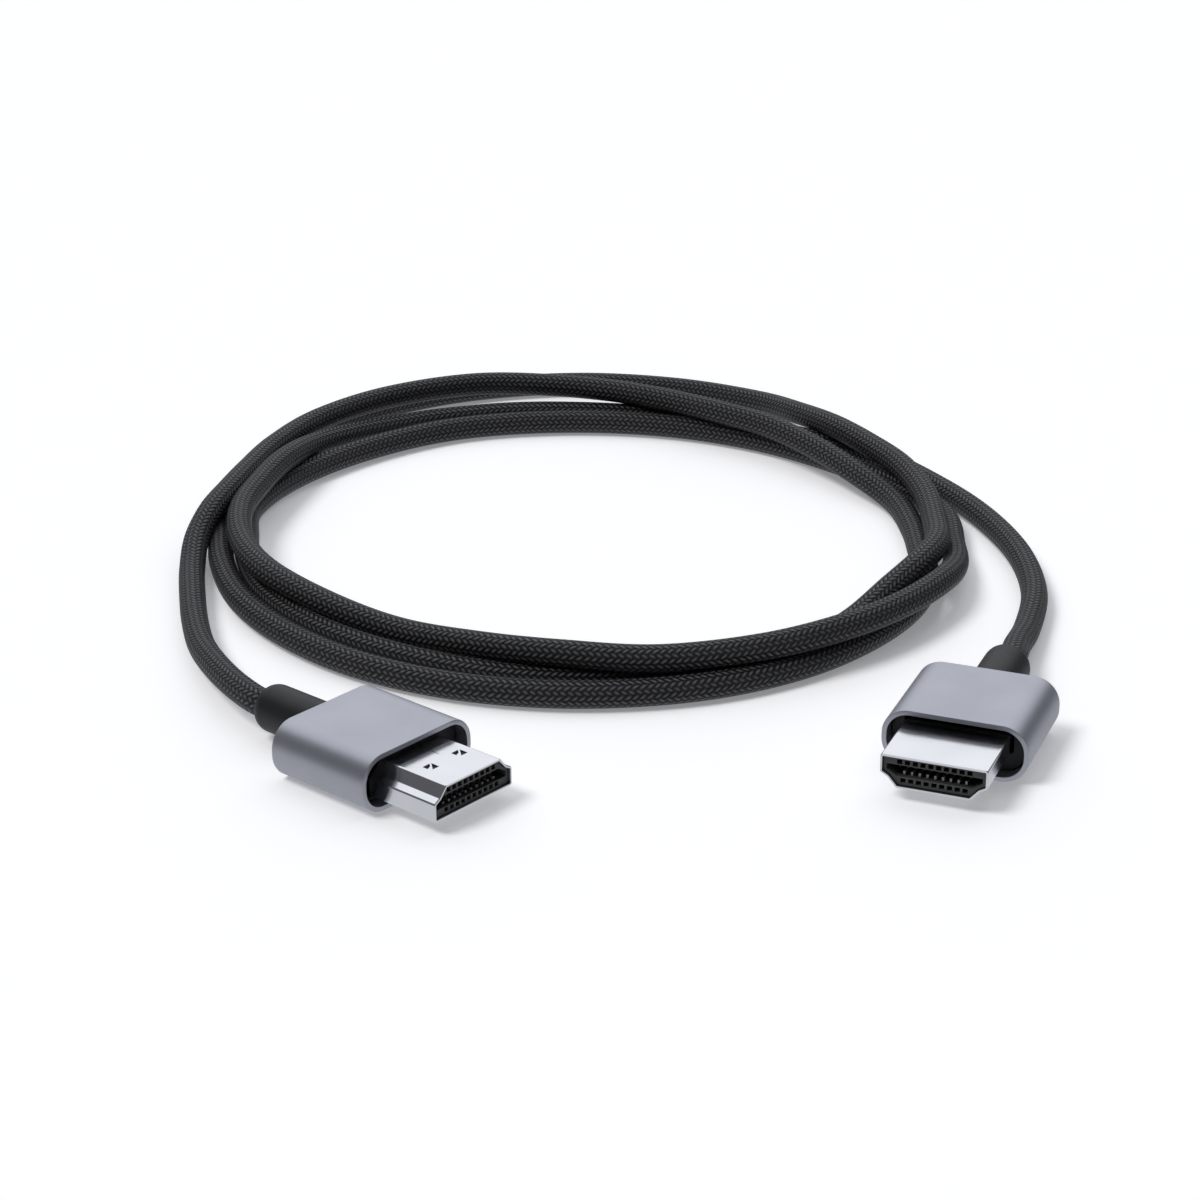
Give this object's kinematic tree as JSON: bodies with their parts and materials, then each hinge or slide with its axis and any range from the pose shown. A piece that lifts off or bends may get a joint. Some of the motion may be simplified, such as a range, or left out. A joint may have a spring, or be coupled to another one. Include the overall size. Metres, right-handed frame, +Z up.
{
  "type": "hdmi cable",
  "caption": "Coiled braided HDMI cable with a slim aluminium plug and a short boot at each end, lying flat in loose turns.",
  "frame": {"origin": "on the floor at the middle of the box around the two plugs, without the cord", "axes": "+X from the left plug to the right plug, +Y from the plugs to the coil behind them, +Z up"},
  "size_m": [0.1287, 0.1718, 0.0079],
  "materials": {
    "plug_housing": "bead-blasted, anodised lilac grey, bevelled mouth",
    "plug_core": "matte black moulded plastic",
    "connector_shell": "bright nickel plate, faint drawing marks",
    "contact_carrier": "satin dark grey moulded plastic",
    "contact": "plated spring contacts, dull in the slot",
    "boot": "matte black soft plastic",
    "braid": "braided dark grey and black yarn in a fine herringbone"
  },
  "bodies": {
    "root": {"left_housing": "plug_housing", "left_core": "plug_core", "left_shell": "connector_shell", "left_insert": "contact_carrier", "left_boot": "boot", "left_wide_contact_1": "contact", "left_wide_contact_2": "contact", "left_wide_contact_3": "contact", "left_wide_contact_4": "contact", "left_wide_contact_5": "contact", "left_wide_contact_6": "contact", "left_wide_contact_7": "contact", "left_wide_contact_8": "contact", "left_wide_contact_9": "contact", "left_wide_contact_10": "contact", "left_narrow_contact_1": "contact", "left_narrow_contact_2": "contact", "left_narrow_contact_3": "contact", "left_narrow_contact_4": "contact", "left_narrow_contact_5": "contact", "left_narrow_contact_6": "contact", "left_narrow_contact_7": "contact", "left_narrow_contact_8": "contact", "left_narrow_contact_9": "contact", "right_housing": "plug_housing", "right_core": "plug_core", "right_shell": "connector_shell", "right_insert": "contact_carrier", "right_boot": "boot", "right_wide_contact_1": "contact", "right_wide_contact_2": "contact", "right_wide_contact_3": "contact", "right_wide_contact_4": "contact", "right_wide_contact_5": "contact", "right_wide_contact_6": "contact", "right_wide_contact_7": "contact", "right_wide_contact_8": "contact", "right_wide_contact_9": "contact", "right_wide_contact_10": "contact", "right_narrow_contact_1": "contact", "right_narrow_contact_2": "contact", "right_narrow_contact_3": "contact", "right_narrow_contact_4": "contact", "right_narrow_contact_5": "contact", "right_narrow_contact_6": "contact", "right_narrow_contact_7": "contact", "right_narrow_contact_8": "contact", "right_narrow_contact_9": "contact", "cable": "braid"}
  },
  "joints": []
}
